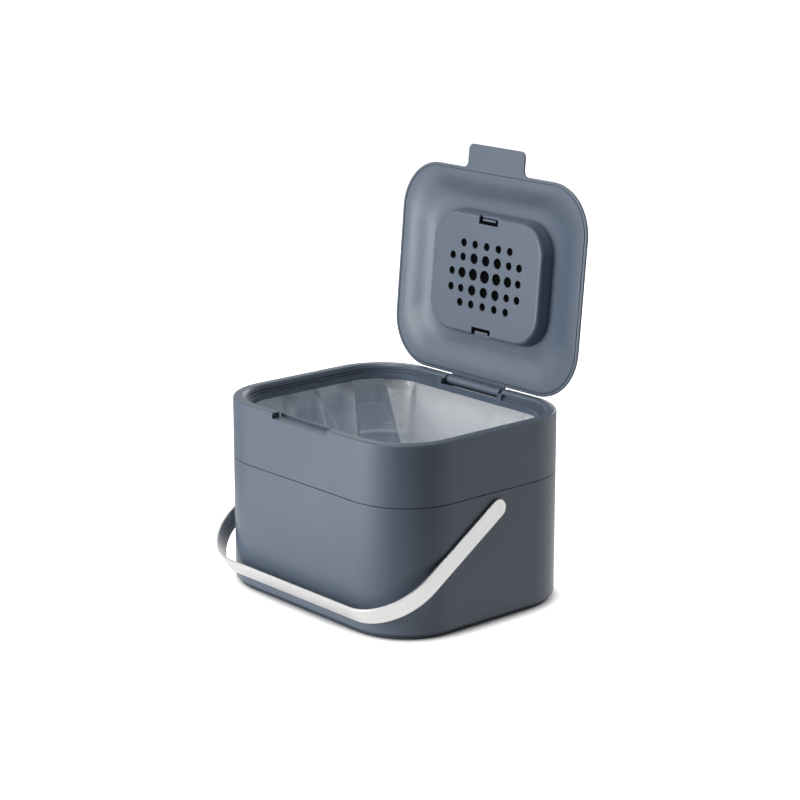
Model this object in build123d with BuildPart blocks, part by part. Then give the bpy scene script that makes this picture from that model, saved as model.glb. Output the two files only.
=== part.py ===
from build123d import *
import math
import os

# Stackable kitchen caddy with a lift-off collar, an odour-filter lid and a strap handle.
# Millimetres, X to the right seen from the front, Y to the back, Z up,
# origin at the centre of the foot ring on the table. Rest pose: lid open, strap down in front.

# Body outline, shared by the bucket and the collar
body_width = 235.0
body_depth = 191.2
corner_radius = 51.2
rim_height = 153.5
seam_height = 104.5

# Bucket
wall = 5.2
neck_wall = 2.0
neck_clearance = 1.2
neck_edge_radius = 0.6
shoulder_edge_radius = 0.5
foot_inset = 3.7
foot_height = 4.0
foot_edge_radius = 1.2
foot_ring_width = 6.3
floor_thickness = 2.5
floor_edge_radius = 3.0
stacking_clearance = 1.0

# Collar
collar_wall = 2.2
rim_width = 9.5
rim_thickness = 2.5
rim_outer_radius = 1.8
rim_lead_in = 1.7
lid_seat_drop = 2.3
step_width = 1.5
step_drop = 2.0
step_thickness = 2.0
throat_height = 4.5
seam_groove_height = 0.6
seam_groove_depth = 0.9

# Finger recess in the front of the rim, under the tab of the lid
recess_side_clearance = 0.8
recess_floor_thickness = 2.3

# Hinge between collar and lid
barrel_radius = 4.2
barrel_rear_gap = 0.6
barrel_left_end = 32.9
barrel_right_end = 29.4
pocket_half_width = 33.4
pocket_clearance = 0.7
pocket_floor_thickness = 2.2
knuckle_width = 5.0
apron_height = 2.8
pin_radius = 1.5
pin_engagement = 3.0
lid_open_angle = 95.1

# Lid
lid_inset = 10.0
lid_thickness = 2.0
lid_flange_width = 4.0
groove_inset = 2.2
groove_width = 0.8
groove_depth = 0.5
dome_height = 8.5
dome_margin = 4.0
dome_steps = 12
dome_ease = 0.75
lid_edge_radius = 0.6
tab_width = 65.0
tab_length = 19.6
tab_corner_radius = 5.0
tab_root_radius = 5.0
vent_hole_share = 0.7

# Filter cover and its clips
cover_width = 126.0
cover_depth = 97.6
cover_corner_radius = 25.0
cover_draft = 2.0
cover_height = 11.5
cover_wall = 1.8
cover_edge_radius = 2.6
window_width = 22.0
window_depth = 6.5
window_drop = 3.0
clip_width = 15.0
clip_thickness = 1.6
clip_rise = 1.0
small_hole = 6.6
medium_hole = 8.7
large_hole = 9.7
largest_hole = 10.6
hole_columns = (13.7, 26.9, 38.8)
hole_rows = (13.0, 24.6)

# Carbon filter pad
filter_thickness = 9.0
filter_side_gap = 0.5
filter_corner_radius = 20.0

# Strap handle and its pivots
strap_width = 14.5
strap_thickness = 2.0
strap_edge_radius = 0.3
strap_bar_standoff = 8.86
strap_bend_radius = 46.0
end_flat = 0.05
strap_rest_angle = 34.0
pivot_y = 2.4
pivot_z = 92.0
rivet_shank_radius = 2.2
rivet_head_radius = 3.1
rivet_head_height = 0.9
rivet_tail_radius = 3.6
rivet_tail_height = 1.1
washer_radius = 6.5
washer_thickness = 0.7
backing_washer_radius = 5.2
backing_washer_thickness = 1.0
washer_pocket_gap = 0.3

# Liner bag
film = 0.4
liner_hem_height = 11.5

# Clearances
body_gap = 0.3
running_gap = 0.08
fit_gap = 0.03

# How far cuts run past a face, and how far added layers sink into their neighbour
overcut = 1.0
overlap = 0.4
CUT = Mode.SUBTRACT

# How near a point has to lie to count as on a level or at a corner
pick_tolerance = 0.01

# Levels and insets that follow from the sizes above
neck_inset = wall - neck_wall
stacking_pocket = dome_height + stacking_clearance
floor_top = stacking_pocket + floor_thickness
rim_underside = rim_height - rim_thickness
first_step_level = rim_height - lid_seat_drop
second_step_level = first_step_level - step_drop
third_step_level = second_step_level - step_drop
throat_bottom = third_step_level - throat_height
first_step_inset = rim_width + step_width
second_step_inset = first_step_inset + step_width
throat_inset = second_step_inset + step_width
recess_half_width = tab_width / 2 + recess_side_clearance
recess_level = second_step_level

# Hinge axis, near the rear of the rim and flush with its top
hinge_y = body_depth / 2 - barrel_rear_gap - barrel_radius
hinge_z = rim_height - barrel_radius
pocket_level = hinge_z - barrel_radius - pocket_clearance
pocket_bottom = pocket_level - pocket_floor_thickness
neck_top = pocket_bottom - neck_clearance
knuckle_end = pocket_half_width + knuckle_width

# Local frame of the lid: origin at the middle of its rear edge on the inner face,
# x across, y from the hinge to the tab, z into the caddy when the lid is shut
lid_width = body_width - 2 * lid_inset
lid_depth = body_depth - 2 * lid_inset
lid_corner_radius = corner_radius - lid_inset
lid_centre = lid_depth / 2
hinge_setback = hinge_y - (body_depth / 2 - lid_inset)
hinge_drop = rim_height - lid_thickness - hinge_z
lid_lean = math.radians(lid_open_angle - 90)
lid_along = Vector(0, math.sin(lid_lean), math.cos(lid_lean))
lid_inward = Vector(0, -math.cos(lid_lean), math.sin(lid_lean))
hinge_point = Vector(0, hinge_y, hinge_z)
lid_origin = hinge_point + lid_along * hinge_setback - lid_inward * hinge_drop
lid_plane = Plane(origin=lid_origin, x_dir=(1, 0, 0), z_dir=lid_inward)
hinge_plane = Plane(origin=hinge_point, x_dir=(0, 1, 0), z_dir=(1, 0, 0))

# The dome of the lid ends just outside the filter cover
cover_base_width = cover_width + 2 * cover_draft
cover_base_depth = cover_depth + 2 * cover_draft
cover_base_radius = cover_corner_radius + cover_draft
dome_width = cover_base_width + 2 * dome_margin
dome_depth = cover_base_depth + 2 * dome_margin
dome_radius = cover_base_radius + dome_margin
cover_face = cover_height - dome_height


def dome_rise(share):
    """How far the dome has risen at a share of the way from the lid's edge to the cover."""
    return share - dome_ease * math.sin(2 * math.pi * share) / (2 * math.pi)


# Local frame of the strap: y from the bar back to the pivots, z across the strap
strap_tilt = math.radians(strap_rest_angle)
strap_plane = Plane(
    origin=(0, pivot_y, pivot_z),
    x_dir=(1, 0, 0),
    z_dir=(0, -math.sin(strap_tilt), math.cos(strap_tilt)),
)
strap_reach = (body_depth / 2 + pivot_y + strap_bar_standoff) / math.cos(strap_tilt)
strap_inner_half = body_width / 2 + washer_thickness + running_gap
strap_outer_half = strap_inner_half + strap_thickness


def body_outline(inset, mode=Mode.ADD):
    """The body's rounded outline, moved in by the inset."""
    width = body_width - 2 * inset
    depth = body_depth - 2 * inset
    return RectangleRounded(width, depth, corner_radius - inset, mode=mode)


def layer(outer_inset, bottom, top, inner_inset=None, mode=Mode.ADD):
    """A layer of the body between two levels, hollow where an inner inset is given."""
    with BuildSketch(Plane.XY.offset(bottom)) as outline:
        body_outline(outer_inset)
        if inner_inset is not None:
            body_outline(inner_inset, mode=Mode.SUBTRACT)
    extrude(outline.sketch, amount=top - bottom, mode=mode)


def block(half_width, y_limits, z_limits, mode=Mode.ADD):
    """A block centred on X between two limits in Y and two in Z."""
    y_min, y_max = y_limits
    z_min, z_max = z_limits
    with BuildSketch(Plane.XY.offset(z_min)) as outline:
        with Locations((0, (y_min + y_max) / 2)):
            Rectangle(2 * half_width, y_max - y_min)
    extrude(outline.sketch, amount=z_max - z_min, mode=mode)


def dot_pattern(share=1.0):
    """Round holes that grow towards the middle, centred on the lid."""
    column_1, column_2, column_3 = hole_columns
    row_1, row_2 = hole_rows
    large_places = [(-column_1, 0), (column_1, 0)]
    medium_places = [(-column_2, 0), (column_2, 0)]
    small_places = [(-column_3, 0), (column_3, 0)]
    for row in (-row_1, row_1):
        medium_places += [(x, row) for x in (-column_1, 0, column_1)]
        small_places += [(x, row) for x in (-column_3, -column_2, column_2, column_3)]
    for row in (-row_2, row_2):
        small_places += [(x, row) for x in (-column_2, -column_1, 0, column_1, column_2)]
    sizes = (largest_hole, large_hole, medium_hole, small_hole)
    places = ([(0, 0)], large_places, medium_places, small_places)
    for diameter, centres in zip(sizes, places):
        for x, y in centres:
            with Locations((x, lid_centre + y)):
                Circle(diameter * share / 2)


def rounded_on_lid(width, depth, radius):
    """A rounded outline centred on the lid."""
    with Locations((0, lid_centre)):
        RectangleRounded(width, depth, radius)


def side_plane(side):
    """The plane of a side wall at the strap pivot, facing out."""
    return Plane(
        origin=(side * body_width / 2, pivot_y, pivot_z), x_dir=(0, 1, 0), z_dir=(side, 0, 0)
    )


def disc(plane, radius, height, mode=Mode.ADD):
    """A round disc that stands on a plane."""
    with BuildSketch(plane) as outline:
        Circle(radius)
    extrude(outline.sketch, amount=height, mode=mode)


# Bucket: lower tub with foot ring, stacking pocket and the neck that the collar goes over
washer_pocket_depth = backing_washer_thickness + rivet_tail_height + washer_pocket_gap
washer_seat = washer_pocket_depth - wall
with BuildPart() as bucket:
    layer(0, foot_height, seam_height)
    fillet(bucket.edges().group_by(Axis.Z)[0], foot_edge_radius)
    fillet(bucket.edges().group_by(Axis.Z)[-1], shoulder_edge_radius)
    layer(foot_inset, 0, foot_height + overcut)
    layer(neck_inset, seam_height - overcut, neck_top)
    layer(wall, floor_top, neck_top + overcut, mode=Mode.SUBTRACT)
    floor_edges = bucket.edges().filter_by(
        lambda edge: abs(edge.center().Z - floor_top) < pick_tolerance
    )
    fillet(floor_edges, floor_edge_radius)
    layer(foot_inset + foot_ring_width, 0, stacking_pocket, mode=Mode.SUBTRACT)
    fillet(bucket.edges().group_by(Axis.Z)[-1], neck_edge_radius)
    for side in (-1, 1):
        inside = side_plane(side).offset(-wall - overcut)
        disc(inside, rivet_shank_radius + fit_gap, wall + 2 * overcut, Mode.SUBTRACT)
        pocket_radius = backing_washer_radius + washer_pocket_gap
        disc(inside, pocket_radius, washer_pocket_depth + overcut, Mode.SUBTRACT)

# Collar: lift-off upper band with the stepped rim, the finger recess and the hinge pocket
with BuildPart() as collar:
    layer(0, rim_underside, rim_height, rim_width)
    rim_face = collar.faces().sort_by(Axis.Z)[-1]
    fillet(rim_face.outer_wire().edges(), rim_outer_radius)
    rim_face = collar.faces().sort_by(Axis.Z)[-1]
    chamfer(rim_face.inner_wires()[0].edges(), rim_lead_in)
    layer(0, seam_height, rim_underside + overlap, collar_wall)
    steps = (
        (rim_width, first_step_inset, first_step_level, step_thickness),
        (first_step_inset, second_step_inset, second_step_level, step_thickness),
        (second_step_inset, throat_inset, third_step_level, throat_height),
    )
    for riser_inset, tread_end, level, height in steps:
        layer(riser_inset - step_thickness, level - height - overlap, level, tread_end)
    # Thicker floor under the finger recess, then the recess itself
    front = -body_depth / 2
    recess_rear = front + first_step_inset
    recess_bottom = recess_level - recess_floor_thickness
    floor_half_width = recess_half_width + recess_floor_thickness
    floor_rear = front + second_step_inset
    floor_front = front + collar_wall / 2
    block(floor_half_width, (floor_front, floor_rear), (recess_bottom, rim_underside + overlap))
    recess_front = front - overcut
    recess_corner = tab_root_radius - recess_side_clearance
    with BuildSketch(Plane.XY.offset(recess_level)) as recess:
        with Locations((0, (recess_front + recess_rear) / 2)):
            Rectangle(2 * recess_half_width, recess_rear - recess_front)
        with Locations((0, front + (rim_width + first_step_inset) / 2)):
            Rectangle(2 * (recess_half_width + recess_corner + step_width), step_width)
        corners = recess.vertices().filter_by(
            lambda corner: abs(corner.Y - front - rim_width) < pick_tolerance
            and abs(abs(corner.X) - recess_half_width) < pick_tolerance
        )
        fillet(corners, recess_corner)
    extrude(amount=rim_height + overcut - recess_level, mode=Mode.SUBTRACT)
    # Knuckles and pocket floor for the hinge, then the pocket and its lower front wall
    rear = body_depth / 2
    pocket_front = rear - throat_inset
    apron_rear = pocket_front + step_thickness
    apron_level = pocket_level + apron_height
    pocket_rear = rear - collar_wall / 2
    pocket_top = rim_height + overcut
    block(knuckle_end, (pocket_front, pocket_rear), (pocket_bottom, rim_underside + overlap))
    block(pocket_half_width, (apron_rear, rear + overcut), (pocket_level, pocket_top), CUT)
    block(pocket_half_width, (pocket_front - overcut, rear), (apron_level, pocket_top), CUT)
    with BuildSketch(hinge_plane):
        Circle(pin_radius + fit_gap)
    extrude(amount=pocket_half_width + pin_engagement + body_gap, both=True, mode=Mode.SUBTRACT)
    # Shadow gap along the seam
    with BuildSketch(Plane.XY.offset(seam_height)):
        body_outline(-overcut)
        body_outline(seam_groove_depth, mode=Mode.SUBTRACT)
    extrude(amount=seam_groove_height, mode=Mode.SUBTRACT)

# Lid: domed panel with a flat edge, a lifting tab, a hinge barrel and two clips
inward_axis = Axis(origin=(0, 0, 0), direction=lid_inward)
barrel_length = barrel_left_end + barrel_right_end
barrel_middle = (barrel_right_end - barrel_left_end) / 2
clip_outer = cover_depth / 2 - cover_wall - body_gap
clip_middle = clip_outer - clip_thickness / 2
clip_height = cover_height - cover_wall + clip_rise
with BuildPart() as lid:
    with BuildSketch(lid_plane.offset(-lid_thickness)) as panel:
        rounded_on_lid(lid_width, lid_depth, lid_corner_radius)
        with Locations((0, lid_depth)):
            Rectangle(tab_width, 2 * tab_length)
        fillet(panel.vertices().group_by(Axis.Y)[-1], tab_corner_radius)
        roots = panel.vertices().filter_by(
            lambda corner: abs(corner.Y - lid_depth) < pick_tolerance
            and abs(abs(corner.X) - tab_width / 2) < pick_tolerance
        )
        fillet(roots, tab_root_radius)
    extrude(amount=lid_thickness)
    panel_faces = lid.faces().sort_by(inward_axis)
    fillet(panel_faces[0].edges() + panel_faces[-1].edges(), lid_edge_radius)
    with BuildSketch(lid_plane.offset(-lid_thickness)):
        with Locations((barrel_middle, 0)):
            Rectangle(barrel_length, 2 * hinge_setback)
    extrude(amount=lid_thickness)
    base_width = lid_width - 2 * lid_flange_width
    base_depth = lid_depth - 2 * lid_flange_width
    base_radius = lid_corner_radius - lid_flange_width
    for bottom, mode in ((-lid_thickness, Mode.ADD), (0, Mode.SUBTRACT)):
        for step in range(dome_steps + 1):
            share = step / dome_steps
            width = base_width + (dome_width - base_width) * share
            depth = base_depth + (dome_depth - base_depth) * share
            radius = base_radius + (dome_radius - base_radius) * share
            with BuildSketch(lid_plane.offset(bottom - dome_height * dome_rise(share))):
                rounded_on_lid(width, depth, radius)
        loft(ruled=True, mode=mode)
    with BuildSketch(lid_plane.offset(-groove_depth)):
        for inset, mode in ((groove_inset, Mode.ADD), (groove_inset + groove_width, Mode.SUBTRACT)):
            with Locations((0, lid_centre)):
                width = lid_width - 2 * inset
                depth = lid_depth - 2 * inset
                RectangleRounded(width, depth, lid_corner_radius - inset, mode=mode)
    extrude(amount=groove_depth + overcut, mode=Mode.SUBTRACT)
    with BuildSketch(lid_plane.offset(-dome_height - lid_thickness - overcut)):
        dot_pattern(vent_hole_share)
    extrude(amount=lid_thickness + 2 * overcut, mode=Mode.SUBTRACT)
    with BuildSketch(lid_plane.offset(-dome_height - overlap)):
        with Locations((0, lid_centre - clip_middle), (0, lid_centre + clip_middle)):
            Rectangle(clip_width, clip_thickness)
    extrude(amount=clip_height + overlap)
    disc(hinge_plane.offset(-barrel_left_end), barrel_radius, barrel_length)
    pin_bore = hinge_plane.offset(-barrel_left_end - overcut)
    disc(pin_bore, pin_radius + running_gap, barrel_length + 2 * overcut, Mode.SUBTRACT)

# Hinge pin, pressed into the knuckles of the collar
with BuildPart() as hinge_pin:
    with BuildSketch(hinge_plane):
        Circle(pin_radius)
    extrude(amount=pocket_half_width + pin_engagement, both=True)

# Filter cover: perforated cap that clips inside the dome of the lid
with BuildPart() as filter_cover:
    with BuildSketch(lid_plane.offset(-dome_height)):
        rounded_on_lid(cover_base_width, cover_base_depth, cover_base_radius)
    with BuildSketch(lid_plane.offset(cover_face)):
        rounded_on_lid(cover_width, cover_depth, cover_corner_radius)
    loft(ruled=True)
    fillet(filter_cover.faces().sort_by(inward_axis)[-1].edges(), cover_edge_radius)
    inner_cut = 2 * cover_wall
    with BuildSketch(lid_plane.offset(-dome_height)):
        hollow_radius = cover_base_radius - cover_wall
        rounded_on_lid(cover_base_width - inner_cut, cover_base_depth - inner_cut, hollow_radius)
    with BuildSketch(lid_plane.offset(cover_face - cover_wall)):
        hollow_radius = cover_corner_radius - cover_wall
        rounded_on_lid(cover_width - inner_cut, cover_depth - inner_cut, hollow_radius)
    loft(ruled=True, mode=Mode.SUBTRACT)
    with BuildSketch(lid_plane.offset(cover_face - cover_wall - overcut)):
        dot_pattern()
    extrude(amount=cover_wall + 2 * overcut, mode=Mode.SUBTRACT)
    window_middle = cover_depth / 2 - window_depth / 2 + overcut / 2
    with BuildSketch(lid_plane.offset(cover_face - window_drop)):
        with Locations((0, lid_centre - window_middle), (0, lid_centre + window_middle)):
            Rectangle(window_width, window_depth + overcut)
    extrude(amount=window_drop + overcut, mode=Mode.SUBTRACT)

# Carbon filter pad, held between the cover and the lid
filter_top = cover_face - cover_wall - body_gap
filter_width = cover_width - 2 * (cover_wall + filter_side_gap)
filter_depth = 2 * (clip_outer - clip_thickness - body_gap)
with BuildPart() as carbon_filter:
    with BuildSketch(lid_plane.offset(filter_top - filter_thickness)):
        rounded_on_lid(filter_width, filter_depth, filter_corner_radius)
    extrude(amount=filter_thickness)

# Strap handle: one flat band bent into a U, with rounded ends at the pivots
strap_back = Vector(0, math.cos(strap_tilt), math.sin(strap_tilt))
half_width = strap_width / 2
half_thickness = strap_thickness / 2
with BuildPart() as handle_strap:
    outer_length = strap_reach + half_thickness + half_width
    with BuildSketch(strap_plane) as strap_outside:
        with Locations((0, half_width - outer_length / 2)):
            Rectangle(2 * strap_outer_half, outer_length)
        fillet(strap_outside.vertices().group_by(Axis.Y)[0], strap_bend_radius + half_thickness)
    extrude(amount=half_width, both=True)
    inner_length = outer_length - strap_thickness + overcut
    with BuildSketch(strap_plane) as strap_inside:
        with Locations((0, half_width + overcut - inner_length / 2)):
            Rectangle(2 * strap_inner_half, inner_length)
        fillet(strap_inside.vertices().group_by(Axis.Y)[0], strap_bend_radius - half_thickness)
    extrude(amount=half_width + overcut, both=True, mode=Mode.SUBTRACT)
    back_axis = Axis(origin=(0, 0, 0), direction=strap_back)
    end_edges = handle_strap.edges().filter_by(Axis.X).group_by(back_axis)[-1]
    fillet(end_edges, half_width - end_flat)
    band_edges = handle_strap.edges().filter_by(lambda edge: edge.length > 2 * strap_thickness)
    fillet(band_edges, strap_edge_radius)
    for side in (-1, 1):
        strap_face = side_plane(side).offset(washer_thickness + running_gap)
        hole_start = strap_face.offset(-overcut)
        hole_length = strap_thickness + 2 * overcut
        disc(hole_start, rivet_shank_radius + running_gap, hole_length, Mode.SUBTRACT)
        head_seat = strap_face.offset(strap_thickness - rivet_head_height - running_gap)
        disc(head_seat, rivet_head_radius + running_gap, hole_length, Mode.SUBTRACT)

# Pivot hardware on each side: rivet, washer under the strap, backing washer in its pocket
sides = {"left": -1, "right": 1}
rivets = {}
pivot_washers = {}
backing_washers = {}
for name, side in sides.items():
    outer_face = washer_thickness + running_gap + strap_thickness
    backing_outer = washer_seat
    backing_inner = backing_outer - backing_washer_thickness
    tail_end = backing_inner - rivet_tail_height
    with BuildPart() as rivet:
        disc(side_plane(side).offset(tail_end), rivet_shank_radius, outer_face - tail_end)
        disc(side_plane(side).offset(tail_end), rivet_tail_radius, rivet_tail_height)
        head_base = side_plane(side).offset(outer_face - rivet_head_height)
        disc(head_base, rivet_head_radius, rivet_head_height)
    rivets[name] = rivet.part
    with BuildPart() as pivot_washer:
        disc(side_plane(side), washer_radius, washer_thickness)
        disc(side_plane(side), rivet_shank_radius + fit_gap, washer_thickness, Mode.SUBTRACT)
    pivot_washers[name] = pivot_washer.part
    with BuildPart() as backing_washer:
        backing_plane = side_plane(side).offset(backing_inner)
        disc(backing_plane, backing_washer_radius, backing_washer_thickness)
        disc(backing_plane, rivet_shank_radius + fit_gap, backing_washer_thickness, CUT)
    backing_washers[name] = backing_washer.part

# Liner bag: thin film inside the bucket, folded over the neck under the collar
liner_inset = wall + body_gap
liner_bottom = floor_top + body_gap
fold_inner = neck_inset - body_gap
fold_outer = fold_inner - film
liner_top = neck_top + body_gap + film
with BuildPart() as liner_space:
    layer(liner_inset + film, liner_bottom + film, liner_top + overcut)
    fillet(liner_space.edges().group_by(Axis.Z)[0], floor_edge_radius - film)
with BuildPart() as liner_bag:
    layer(liner_inset, liner_bottom, liner_top)
    fillet(liner_bag.edges().group_by(Axis.Z)[0], floor_edge_radius)
    add(liner_space.part, mode=Mode.SUBTRACT)
    layer(fold_outer, neck_top + body_gap, liner_top, liner_inset + film)
    layer(fold_outer, seam_height + liner_hem_height, liner_top, fold_inner)

pieces = {
    "bucket": bucket.part,
    "collar": collar.part,
    "lid": lid.part,
    "hinge_pin": hinge_pin.part,
    "filter_cover": filter_cover.part,
    "carbon_filter": carbon_filter.part,
    "handle_strap": handle_strap.part,
    "liner_bag": liner_bag.part,
}
for name in sides:
    pieces[f"rivet_{name}"] = rivets[name]
    pieces[f"pivot_washer_{name}"] = pivot_washers[name]
    pieces[f"backing_washer_{name}"] = backing_washers[name]

os.makedirs("parts", exist_ok=True)
for name, piece in pieces.items():
    piece.label = name
    export_step(piece, f"parts/{name}.step")
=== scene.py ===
import math

import bpy
from mathutils import Matrix, Vector, noise


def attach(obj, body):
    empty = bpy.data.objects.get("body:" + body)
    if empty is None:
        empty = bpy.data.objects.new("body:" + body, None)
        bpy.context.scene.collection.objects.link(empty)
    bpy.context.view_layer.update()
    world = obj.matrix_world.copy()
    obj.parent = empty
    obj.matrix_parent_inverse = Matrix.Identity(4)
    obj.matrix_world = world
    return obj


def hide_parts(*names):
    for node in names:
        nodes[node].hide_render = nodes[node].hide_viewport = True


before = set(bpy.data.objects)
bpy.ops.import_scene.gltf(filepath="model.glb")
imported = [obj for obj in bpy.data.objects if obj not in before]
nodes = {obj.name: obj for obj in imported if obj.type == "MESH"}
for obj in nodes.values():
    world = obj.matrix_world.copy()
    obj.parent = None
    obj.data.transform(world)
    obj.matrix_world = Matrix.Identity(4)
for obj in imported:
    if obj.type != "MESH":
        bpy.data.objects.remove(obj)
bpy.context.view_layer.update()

# Body outline and liner levels, in metres, as in the CAD
BODY_WIDTH = 0.235
BODY_DEPTH = 0.1912
CORNER_RADIUS = 0.0512
LINER_INSET = 0.0057
FOLD_INSET = 0.0027
NECK_TOP = 0.1416
LINER_FLOOR = 0.0125
FOLD_END = 0.1163
STRAP_TILT = math.radians(34)

# The film's mesh: how fine it is, where its rings lie, and how milky its hidden parts are
RING_POINTS = 640
WALL_STEPS = 96
FOLD_SHARES = (0, 0.25, 0.5, 0.75, 1)
BEND_SHARES = (0.3, 0.7)
BOTTOM_SHARES = (0.02, 0.1, 0.3, 0.55, 0.8)
BEND_DROP = 0.0008
WALL_END = LINER_FLOOR + 0.003
BOTTOM_MIDDLE = LINER_FLOOR + 0.001
BOTTOM_INSET = LINER_INSET + 0.0016
FILM_THICKNESS = 0.00012
FOLD_HAZE = 0.4
BOTTOM_HAZE = 0.5

# How the pleats grow below the neck, and how much of their height they lose further down
PLEAT_RISE = 0.012
PLEAT_FADE = 0.125
PLEAT_LOSS = 0.55

# The pleats: run at the top, drift per metre down, height, width before and after,
# and how milky the film is between this pleat and the next
PLEATS = (
    (-0.092, 0.10, 0.0030, 0.004, 0.016, 0.40),
    (-0.058, -0.15, 0.0040, 0.012, 0.003, 0.42),
    (-0.022, 0.20, 0.0050, 0.003, 0.014, 0.22),
    (0.0108, 0.24, 0.0052, 0.010, 0.0022, 0.34),
    (0.0482, 0.10, 0.0058, 0.0160, 0.0020, 0.14),
    (0.0812, 0.26, 0.0060, 0.0022, 0.012, 0.90),
    (0.1081, -0.08, 0.0050, 0.012, 0.0018, 0.95),
    (0.241, 0.18, 0.0042, 0.003, 0.016, 0.60),
    (0.268, -0.10, 0.0050, 0.014, 0.003, 0.45),
    (0.304, 0.14, 0.0046, 0.003, 0.012, 0.30),
    (0.338, 0.06, 0.0038, 0.012, 0.004, 0.42),
    (0.377, -0.16, 0.0044, 0.004, 0.018, 0.25),
    (0.421, 0.12, 0.0048, 0.014, 0.003, 0.40),
    (0.462, -0.20, 0.0040, 0.003, 0.016, 0.30),
    (0.508, 0.10, 0.0024, 0.018, 0.008, 0.45),
    (0.566, -0.06, 0.0030, 0.004, 0.018, 0.35),
    (0.603, 0.14, 0.0046, 0.012, 0.003, 0.45),
)

# The milky line on a pleat's crest, partly the film's own whitening and partly a painted
# highlight: its width. Then how strong the painted light band on the slopes beside it is, drawn
# as milkier film
CREASE_WIDTH = 0.003
SLOPE_PAINTED_LIGHT = 0.35

# Creases across the wall: height, and where their run starts and ends. Then how wide and high
# each one stands, and how wide and milky its line is; that milky line is partly the film's own
# whitening and partly a painted highlight
CROSS_CREASES = ((0.0950, 0.058, 0.106), (0.0610, 0.110, 0.250), (0.0700, -0.080, 0.020))
CROSS_WIDTH = 0.006
CROSS_LIFT = 0.0016
CROSS_LINE = 0.0016
CROSS_STRENGTH = 0.8

# Ripples all over, gathers below the neck, and crumples with faint milky edges that wander,
# partly the film's own whitening and partly painted highlights. Each scale is round the wall
# and up it, per metre
RIPPLE_SCALE = (70, 22)
RIPPLE_LIFT = 0.0008
RIPPLE_MIDDLE = 0.6
GATHER_SCALE = (260, 30)
GATHER_LIFT = 0.0009
GATHER_DEPTH = 0.03
WANDER_SCALE = (25, 20)
WANDER = Vector((0.6, 0.6, 1.2))
CRUMPLE_SCALE = (34, 11)
CRUMPLE_LIFT = 0.0018
CRUMPLE_EDGE = 0.05
CRUMPLE_CREASE = 0.16

# The film is milkier near the neck, and the bottom is crumpled too
NECK_HAZE = 0.5
NECK_HAZE_DEPTH = 0.02
BOTTOM_LIFT = 0.0008
BOTTOM_CRUMPLE = 0.0010
BOTTOM_CRUMPLE_SCALE = 60
BOTTOM_CRUMPLE_MIDDLE = 0.5
BOTTOM_CRUMPLE_LEVEL = 5

# Painted reflections: the floor glows brighter in reflections than it looks, most towards two
# sides: direction, start and level. Then its glow in all other reflections, and a faint glow
# for diffuse rays that is painted bounce light
FLOOR_GLOWS = (((-0.26, -0.966, 0.0), 0.7, 2.2), ((0.64, 0.77, 0.0), 0.5, 0.65))
FLOOR_SHEEN = 0.15
FLOOR_BOUNCE = 0.15
FLOOR_SIZE = 6
AMBIENT = 0.03

# Lamps: azimuth and elevation in degrees, distance and size in metres, power in watts
LAMPS = {
    "key": (-20, 7, 1.5, 0.75, 15),
    "left_fill": (-50, 35, 1.3, 0.8, 4),
    "back_right": (155, 22, 1.5, 0.9, 4),
    "back_left": (-150, 25, 1.5, 0.9, 7),
    "top": (5, 70, 1.5, 0.7, 8.5),
}
LAMP_TARGET = Vector((0, 0, 0.15))

# Camera: where it stands, in degrees and metres, and its lens and sensor, in millimetres
CAMERA_AZIMUTH = 48.84
CAMERA_ELEVATION = 14.8073
CAMERA_DISTANCE = 1.88069
CAMERA_RIGHT = 0.005517
CAMERA_UP = 0.149011
CAMERA_LENS = 104.6034
CAMERA_SENSOR = 36


# Node helpers
def new_material(name):
    """A material, its node tree and its shader."""
    material = bpy.data.materials.new(name)
    material.use_nodes = True
    tree = material.node_tree
    return material, tree, tree.nodes["Principled BSDF"]


def fill(tree, node, inputs):
    """Sets inputs by name or number, each to a value or to another node's output."""
    for key, value in inputs.items():
        if isinstance(value, bpy.types.NodeSocket):
            tree.links.new(value, node.inputs[key])
        else:
            node.inputs[key].default_value = value


def add(tree, kind, inputs=None, **properties):
    """Adds a node, sets its properties and fills its inputs."""
    node = tree.nodes.new(kind)
    for key, value in properties.items():
        setattr(node, key, value)
    fill(tree, node, inputs or {})
    return node


def combine(tree, operation, first, second, **properties):
    """The result of two values under a maths operation."""
    inputs = {0: first, 1: second}
    node = add(tree, "ShaderNodeMath", inputs, operation=operation, **properties)
    return node.outputs[0]


def combine_vectors(tree, operation, *vectors):
    """The result of a vector operation: a number for a dot product or a length."""
    inputs = dict(enumerate(vectors))
    node = add(tree, "ShaderNodeVectorMath", inputs, operation=operation)
    is_number = operation in ("DOT_PRODUCT", "LENGTH")
    return node.outputs["Value" if is_number else "Vector"]


def ramp(tree, source, over, onto):
    """Maps a value over one range onto another, clamped."""
    inputs = {
        "Value": source,
        "From Min": over[0],
        "From Max": over[1],
        "To Min": onto[0],
        "To Max": onto[1],
    }
    return add(tree, "ShaderNodeMapRange", inputs, clamp=True).outputs["Result"]


def mix_colors(tree, share, first, second):
    """Mixes two colours by a share."""
    node = add(tree, "ShaderNodeMix", data_type="RGBA")
    sockets = {socket.identifier: socket for socket in node.inputs}
    tree.links.new(share, sockets["Factor_Float"])
    for name, color in (("A_Color", first), ("B_Color", second)):
        if isinstance(color, bpy.types.NodeSocket):
            tree.links.new(color, sockets[name])
        else:
            sockets[name].default_value = (*color, 1)
    return [socket for socket in node.outputs if socket.identifier == "Result_Color"][0]


def object_place(tree):
    """The place on the piece, in metres."""
    return add(tree, "ShaderNodeTexCoord").outputs["Object"]


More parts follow.
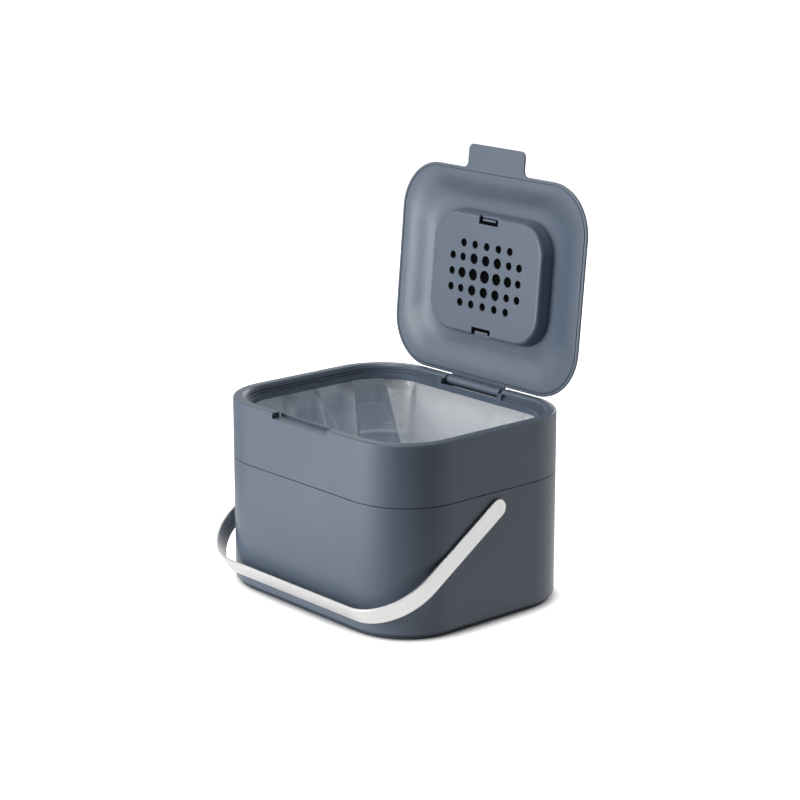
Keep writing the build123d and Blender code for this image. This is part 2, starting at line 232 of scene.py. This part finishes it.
def noise_value(tree, place, scale, detail, roughness=0.5, distortion=0.0):
    """Smooth noise from 0 to 1. The scale is in waves per metre."""
    inputs = {
        "Vector": place,
        "Scale": scale,
        "Detail": detail,
        "Roughness": roughness,
        "Distortion": distortion,
    }
    return add(tree, "ShaderNodeTexNoise", inputs).outputs["Fac"]


def bumped_normal(tree, height, strength, distance, under=None):
    """The surface's normal with fine relief on it, laid over another normal if given."""
    inputs = {"Height": height, "Strength": strength, "Distance": distance}
    if under is not None:
        inputs["Normal"] = under
    return add(tree, "ShaderNodeBump", inputs).outputs["Normal"]


# Materials
def moulded_plastic(name, low, high, roughness):
    """Fine-grained moulded plastic, a little uneven in tone and gloss, with painted shade in
    the gaps between pieces.
    """
    material, tree, shader = new_material(name)
    place = object_place(tree)
    cloud = noise_value(tree, place, scale=18.0, detail=3.0)
    fine = noise_value(tree, place, scale=1600.0, detail=2.0)
    speck_inputs = {"Vector": place, "Scale": 1100.0}
    speck = add(tree, "ShaderNodeTexVoronoi", speck_inputs).outputs["Distance"]
    clouds = ramp(tree, cloud, over=(0.3, 0.7), onto=(0.2, 0.65))
    grains = ramp(tree, fine, over=(0.3, 0.7), onto=(-0.15, 0.15))
    color = mix_colors(tree, combine(tree, "ADD", clouds, grains), low, high)
    # Painted shade: gaps between the pieces are darker, where ambient occlusion finds them
    gap = add(tree, "ShaderNodeAmbientOcclusion", {"Distance": 0.006}, samples=6)
    unshaded_share = ramp(tree, gap.outputs["AO"], over=(0.25, 0.85), onto=(0.0, 1.0))
    painted_shade = tuple(0.25 * value for value in low)
    gloss_range = (roughness - 0.04, roughness + 0.05)
    soft_edges = add(tree, "ShaderNodeBevel", {"Radius": 0.00035}, samples=6).outputs["Normal"]
    relief = combine(tree, "ADD", fine, speck)
    inputs = {
        "Base Color": mix_colors(tree, unshaded_share, painted_shade, color),
        "Roughness": ramp(tree, fine, over=(0.3, 0.7), onto=gloss_range),
        "Specular IOR Level": 0.42,
        "Normal": bumped_normal(tree, relief, strength=0.12, distance=0.0002, under=soft_edges),
    }
    fill(tree, shader, inputs)
    return material


def brushed_steel(name, tilt, stretch):
    """Steel with fine streaks and soft smudges. The stretch says how fine they are each way."""
    material, tree, shader = new_material(name)
    place = object_place(tree)
    turned = add(tree, "ShaderNodeMapping", {"Vector": place, "Rotation": (tilt, 0, 0)})
    stretched = add(tree, "ShaderNodeMapping", {"Vector": turned.outputs[0], "Scale": stretch})
    streak = noise_value(tree, stretched.outputs[0], scale=1.0, detail=5.0, roughness=0.65)
    smudge = noise_value(tree, place, scale=45.0, detail=2.0)
    streaks = ramp(tree, streak, over=(0.3, 0.7), onto=(0.0, 1.0))
    streak_gloss = ramp(tree, streak, over=(0.3, 0.7), onto=(0.27, 0.38))
    smudge_gloss = ramp(tree, smudge, over=(0.35, 0.7), onto=(0.0, 0.06))
    inputs = {
        "Base Color": mix_colors(tree, streaks, (0.60, 0.60, 0.59), (0.78, 0.78, 0.77)),
        "Metallic": 1.0,
        "Roughness": combine(tree, "ADD", streak_gloss, smudge_gloss),
        "Normal": bumped_normal(tree, streak, strength=0.16, distance=0.0001),
    }
    fill(tree, shader, inputs)
    return material


def carbon_felt(name):
    """Black felt with short fibres, its black deepened into painted shade for the holes in
    front of it.
    """
    material, tree, shader = new_material(name)
    fibre = noise_value(tree, object_place(tree), scale=900.0, detail=6.0)
    fibres = ramp(tree, fibre, over=(0.35, 0.65), onto=(0.0, 1.0))
    inputs = {
        # Near black: the felt's own black, made darker still as painted shade
        "Base Color": mix_colors(tree, fibres, (0.001, 0.001, 0.0012), (0.005, 0.005, 0.0055)),
        "Roughness": 0.95,
        "Specular IOR Level": 0.05,
        "Normal": bumped_normal(tree, fibre, strength=0.6, distance=0.0004),
    }
    fill(tree, shader, inputs)
    return material


def frosted_film(name):
    """Thin frosted film, milkier and whiter where the mesh says so, with fine crinkles. Along
    crease lines that whiteness is partly a painted highlight.
    """
    material, tree, shader = new_material(name)
    place = object_place(tree)
    haze_and_glint = add(tree, "ShaderNodeAttribute", attribute_name="haze_and_glint").outputs["Fac"]
    crinkle = noise_value(tree, place, scale=55.0, detail=5.0, distortion=1.2)
    patch = noise_value(tree, place, scale=24.0, detail=2.0)
    patches = ramp(tree, patch, over=(0.35, 0.65), onto=(-0.05, 0.08))
    milk_and_glint = combine(tree, "ADD", haze_and_glint, patches, use_clamp=True)
    # Whiter and more opaque where the film is milky; along crease lines this is partly painted
    # highlight
    inputs = {
        "Base Color": mix_colors(tree, milk_and_glint, (0.72, 0.83, 0.96), (0.96, 0.98, 1.0)),
        "Alpha": ramp(tree, milk_and_glint, over=(0.0, 0.6), onto=(0.42, 1.0)),
        "Roughness": 0.18,
        "Specular IOR Level": 0.9,
        "Normal": bumped_normal(tree, crinkle, strength=0.8, distance=0.0016),
    }
    fill(tree, shader, inputs)
    return material


def paint(node, material):
    """Gives a CAD node's mesh one material."""
    mesh = nodes[node].data
    mesh.materials.clear()
    mesh.materials.append(material)


plastic = moulded_plastic(
    "graphite_plastic",
    low=(0.108, 0.140, 0.190),
    high=(0.124, 0.158, 0.214),
    roughness=0.32,
)
dark_plastic = moulded_plastic(
    "washer_plastic",
    low=(0.020, 0.022, 0.026),
    high=(0.030, 0.033, 0.038),
    roughness=0.5,
)
strap_steel = brushed_steel("strap_steel", tilt=-STRAP_TILT, stretch=(6.0, 6.0, 2600.0))
turned_steel = brushed_steel("turned_steel", tilt=0.0, stretch=(260.0, 900.0, 900.0))
felt = carbon_felt("carbon_felt")
film = frosted_film("frosted_film")
for node in ("bucket", "collar", "lid", "filter_cover"):
    paint(node, plastic)
paint("handle_strap", strap_steel)
paint("carbon_filter", felt)
paint("hinge_pin", turned_steel)
for side in ("left", "right"):
    paint(f"rivet_{side}", turned_steel)
    paint(f"backing_washer_{side}", turned_steel)
    paint(f"pivot_washer_{side}", dark_plastic)


# Liner bag: a thin film with pleats that start where the collar clamps it
def outline_length():
    """The way round the inner wall."""
    straight = 2 * (BODY_WIDTH + BODY_DEPTH) - 8 * CORNER_RADIUS
    return straight + 2 * math.pi * (CORNER_RADIUS - LINER_INSET)


def outline_point(run, inset):
    """A point on the body's outline moved in by the inset, and its inward direction.

    The run is the way round the outline of the inner wall, from the middle of the left wall
    towards the back and on clockwise seen from above.
    """
    half_x = BODY_WIDTH / 2 - CORNER_RADIUS
    half_y = BODY_DEPTH / 2 - CORNER_RADIUS
    wall_radius = CORNER_RADIUS - LINER_INSET
    arc = wall_radius * math.pi / 2
    run = (run + half_y) % (4 * (half_x + half_y + arc))
    radius = CORNER_RADIUS - inset
    sides = (
        (2 * half_y, Vector((-half_x, -half_y)), Vector((0, 1)), Vector((-1, 0))),
        (2 * half_x, Vector((-half_x, half_y)), Vector((1, 0)), Vector((0, 1))),
        (2 * half_y, Vector((half_x, half_y)), Vector((0, -1)), Vector((1, 0))),
        (2 * half_x, Vector((half_x, -half_y)), Vector((-1, 0)), Vector((0, -1))),
    )
    for length, start, along, outward in sides:
        if run <= length:
            return start + along * run + outward * radius, -outward
        run -= length
        if run <= arc:
            direction = Matrix.Rotation(-run / wall_radius, 2) @ outward
            return start + along * length + direction * radius, -direction
        run -= arc
    raise ValueError("the run is longer than the outline")


def falloff(distance, width):
    """1 at no distance, down to 0 at the width and past it."""
    return max(0.0, 1.0 - distance / width)


def pleats_at(run, below, total):
    """The height that the pleats give the film, the milky lines on their crests with painted
    light bands on the slopes beside them, and the milkiness between pleats.
    """
    lift = 0.0
    crease_milk_and_glint = 0.0
    nearest = total
    for top_run, drift, tall, before, after, milkiness in PLEATS:
        past = (run - top_run - drift * below) % total
        if past < nearest:
            nearest = past
            milky = milkiness
        gap = (past + total / 2) % total - total / 2
        near = falloff(abs(gap), before if gap < 0 else after)
        lift = max(lift, tall * near)
        # Crest line: partly the film's own whitening, partly painted highlight. Slope band:
        # painted light
        crease_milk_and_glint = max(crease_milk_and_glint, falloff(abs(gap), CREASE_WIDTH), SLOPE_PAINTED_LIGHT * near * near)
    return lift, crease_milk_and_glint, milky


def film_at(run, height, total):
    """How far the film stands off the wall, and how milky it is, with painted highlights along
    its crease lines counted as milkiness.
    """
    below = NECK_TOP - height
    lift, crease_milk_and_glint, milky = pleats_at(run, below, total)
    for cross_height, start, end in CROSS_CREASES:
        if (run - start) % total < end - start:
            gap = abs(height - cross_height)
            lift += CROSS_LIFT * falloff(gap, CROSS_WIDTH)
            # The milky line along a cross crease, partly painted highlight
            crease_milk_and_glint = max(crease_milk_and_glint, CROSS_STRENGTH * falloff(gap, CROSS_LINE))
    turn = 2 * math.pi * run / total
    circle = Vector((math.cos(turn), math.sin(turn), 0)) * total / (2 * math.pi)

    def place(scale):
        """Where noise is read: on a round tube, so that it joins up where the run starts."""
        return circle * scale[0] + Vector((0, 0, height * scale[1]))

    ripple = noise.noise(place(RIPPLE_SCALE)) + RIPPLE_MIDDLE
    gather = abs(noise.noise(place(GATHER_SCALE)) * falloff(below, GATHER_DEPTH))
    wander = WANDER * noise.noise(place(WANDER_SCALE))
    nearest, second = noise.voronoi(place(CRUMPLE_SCALE) + wander)[0][:2]
    lift += RIPPLE_LIFT * ripple + GATHER_LIFT * gather + CRUMPLE_LIFT * nearest
    # Faint milky lines on the crumples' edges, partly painted highlight
    crease_milk_and_glint = max(crease_milk_and_glint, CRUMPLE_CREASE * falloff(second - nearest, CRUMPLE_EDGE))
    grow = min(1.0, below / PLEAT_RISE)
    fade = 1.0 - PLEAT_LOSS * min(1.0, below / PLEAT_FADE)
    # The crease lines' milkiness is partly the film's own whitening and partly painted
    # highlight
    haze_and_glint = milky + crease_milk_and_glint * grow + NECK_HAZE * falloff(below, NECK_HAZE_DEPTH)
    return lift * grow * fade, haze_and_glint


def film_rings():
    """Rings of (point, height, haze), from the end of the fold over the neck to the bottom."""
    total = outline_length()
    runs = [total * number / RING_POINTS for number in range(RING_POINTS)]
    bend = NECK_TOP - BEND_DROP
    rings = []
    for share in FOLD_SHARES:
        height = FOLD_END + (bend - FOLD_END) * share
        rings.append([(outline_point(run, FOLD_INSET)[0], height, FOLD_HAZE) for run in runs])
    for share in BEND_SHARES:
        inset = FOLD_INSET + (LINER_INSET - FOLD_INSET) * share
        rings.append([(outline_point(run, inset)[0], NECK_TOP, FOLD_HAZE) for run in runs])
    for step in range(WALL_STEPS + 1):
        height = bend - (bend - WALL_END) * step / WALL_STEPS
        ring = []
        for run in runs:
            lift, haze_and_glint = film_at(run, height, total)
            point, inward = outline_point(run, LINER_INSET)
            ring.append((point + inward * lift, height, haze_and_glint))
        rings.append(ring)
    for share in BOTTOM_SHARES:
        ring = []
        for run in runs:
            point = outline_point(run, BOTTOM_INSET)[0] * (1 - share)
            spot = Vector((*(point * BOTTOM_CRUMPLE_SCALE), BOTTOM_CRUMPLE_LEVEL))
            crumple = noise.noise(spot) + BOTTOM_CRUMPLE_MIDDLE
            height = LINER_FLOOR + BOTTOM_LIFT + BOTTOM_CRUMPLE * crumple
            ring.append((point, height, BOTTOM_HAZE))
        rings.append(ring)
    return rings


def film_bag():
    """The whole film as one sheet, closed at the middle of the bottom."""
    rings = film_rings()
    points = [point for ring in rings for point in ring]
    points.append((Vector((0, 0)), BOTTOM_MIDDLE, BOTTOM_HAZE))
    faces = []
    for row in range(len(rings) - 1):
        low = row * RING_POINTS
        high = low + RING_POINTS
        for number in range(RING_POINTS):
            after = (number + 1) % RING_POINTS
            faces.append((low + number, low + after, high + after, high + number))
    last = (len(rings) - 1) * RING_POINTS
    for number in range(RING_POINTS):
        faces.append((last + number, last + (number + 1) % RING_POINTS, len(points) - 1))
    mesh = bpy.data.meshes.new("liner_film")
    mesh.from_pydata([(point.x, point.y, height) for point, height, haze_and_glint in points], [], faces)
    haze_and_glint_layer = mesh.attributes.new("haze_and_glint", "FLOAT", "POINT")
    haze_and_glint_layer.data.foreach_set("value", [haze_and_glint for point, height, haze_and_glint in points])
    mesh.shade_smooth()
    mesh.materials.append(film)
    piece = bpy.data.objects.new("liner_film", mesh)
    bpy.context.scene.collection.objects.link(piece)
    solidify = piece.modifiers.new("thickness", "SOLIDIFY")
    solidify.thickness = FILM_THICKNESS
    solidify.offset = 0
    return piece


liner = film_bag()
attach(liner, "bucket")
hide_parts("liner_bag")


# Floor, light and camera
def white_floor():
    """Floor that looks white, with a painted contact shadow near the foot over the lamps' real
    one, and a painted glow that shines in reflections.
    """
    material, tree, shader = new_material("white_floor")
    path = add(tree, "ShaderNodeLightPath").outputs
    spot = object_place(tree)
    # Painted contact shadow: the glow that keeps the floor white fades out near the foot, where
    # the shadow lies, for the camera, in reflections and in bounce light alike
    outline = (2 / BODY_WIDTH, 2 / BODY_DEPTH, 0)
    scaled = combine_vectors(tree, "MULTIPLY", spot, outline)
    squared = combine_vectors(tree, "MULTIPLY", scaled, scaled)
    ring = combine_vectors(tree, "DOT_PRODUCT", squared, squared)
    glow_with_painted_shadow = ramp(tree, ring, over=(0.95, 1.45), onto=(0.1, 1.1))
    seen = combine(tree, "MULTIPLY", glow_with_painted_shadow, path["Is Camera Ray"])
    # Painted reflections: the floor glows brighter to glossy rays than it looks, most towards
    # the FLOOR_GLOWS sides, and faintly to diffuse rays as painted bounce light
    toward = combine_vectors(tree, "NORMALIZE", spot)
    sheen = FLOOR_SHEEN
    for side, start, level in FLOOR_GLOWS:
        facing = combine_vectors(tree, "DOT_PRODUCT", toward, side)
        side_glow = ramp(tree, facing, over=(start, 1.0), onto=(0.0, level))
        sheen = combine(tree, "ADD", side_glow, sheen)
    reach = combine_vectors(tree, "LENGTH", spot)
    sheen = ramp(tree, reach, over=(0.2, 0.4), onto=(0.85, sheen))
    mirrored = combine(tree, "MULTIPLY", sheen, path["Is Glossy Ray"])
    bounce = combine(tree, "MULTIPLY", path["Is Diffuse Ray"], FLOOR_BOUNCE)
    unseen = combine(tree, "MAXIMUM", mirrored, bounce)
    shaded = combine(tree, "MULTIPLY", unseen, glow_with_painted_shadow)
    grey = (0.32, 0.32, 0.32)
    pale = (0.8, 0.8, 0.8)
    inputs = {
        "Base Color": mix_colors(tree, path["Is Camera Ray"], grey, pale),
        "Roughness": 0.7,
        "Specular IOR Level": 0.2,
        "Emission Color": (1, 1, 1, 1),
        "Emission Strength": combine(tree, "MAXIMUM", seen, shaded),
    }
    fill(tree, shader, inputs)
    return material


def studio_world():
    """White behind the bin and in reflections, where it dims upward, and faint as a light."""
    world = bpy.data.worlds.new("studio")
    world.use_nodes = True
    tree = world.node_tree
    path = add(tree, "ShaderNodeLightPath").outputs
    direct = combine(tree, "MAXIMUM", path["Is Camera Ray"], path["Is Transmission Ray"])
    way = add(tree, "ShaderNodeTexCoord").outputs["Generated"]
    upward = add(tree, "ShaderNodeSeparateXYZ", {0: way}).outputs["Z"]
    studio = ramp(tree, upward, over=(0.05, 0.40), onto=(0.8, 0.45))
    glossy = combine(tree, "MULTIPLY", path["Is Glossy Ray"], studio)
    dim = combine(tree, "MULTIPLY", studio, AMBIENT)
    soft = combine(tree, "MAXIMUM", glossy, dim)
    strength = combine(tree, "MAXIMUM", direct, soft)
    fill(tree, tree.nodes["Background"], {"Color": (1, 1, 1, 1), "Strength": strength})
    return world


def bearing(azimuth, elevation):
    """The way out from the bin, from degrees. Azimuth 0 is in front, 90 to the right."""
    turn = math.radians(azimuth)
    rise = math.radians(elevation)
    level = math.cos(rise)
    return Vector((math.sin(turn) * level, -math.cos(turn) * level, math.sin(rise)))


def softbox(name, azimuth, elevation, distance, size, power):
    """A square area light that looks at the bin."""
    away = bearing(azimuth, elevation)
    data = bpy.data.lights.new(name, "AREA")
    data.shape = "SQUARE"
    data.size = size
    data.energy = power
    lamp = bpy.data.objects.new(name, data)
    lamp.location = LAMP_TARGET + away * distance
    lamp.rotation_euler = away.to_track_quat("Z", "Y").to_euler()
    bpy.context.scene.collection.objects.link(lamp)


def photo_camera():
    """The camera at the photograph's viewing angle."""
    back = bearing(CAMERA_AZIMUTH, CAMERA_ELEVATION)
    turn = math.radians(CAMERA_AZIMUTH)
    right = Vector((math.cos(turn), math.sin(turn), 0))
    up = back.cross(right)
    data = bpy.data.cameras.new("camera")
    data.sensor_width = CAMERA_SENSOR
    data.lens = CAMERA_LENS
    camera = bpy.data.objects.new("camera", data)
    camera.location = back * CAMERA_DISTANCE + right * CAMERA_RIGHT + up * CAMERA_UP
    camera.rotation_euler = back.to_track_quat("Z", "Y").to_euler()
    bpy.context.scene.collection.objects.link(camera)
    return camera


floor_corners = [
    (-FLOOR_SIZE, -FLOOR_SIZE, 0),
    (FLOOR_SIZE, -FLOOR_SIZE, 0),
    (FLOOR_SIZE, FLOOR_SIZE, 0),
    (-FLOOR_SIZE, FLOOR_SIZE, 0),
]
floor_mesh = bpy.data.meshes.new("studio_floor")
floor_mesh.from_pydata(floor_corners, [], [(0, 1, 2, 3)])
floor_mesh.materials.append(white_floor())
floor = bpy.data.objects.new("studio_floor", floor_mesh)
bpy.context.scene.collection.objects.link(floor)
bpy.context.scene.world = studio_world()
for name, values in LAMPS.items():
    softbox(name, *values)
bpy.context.scene.camera = photo_camera()
bpy.context.scene.view_settings.view_transform = "Standard"
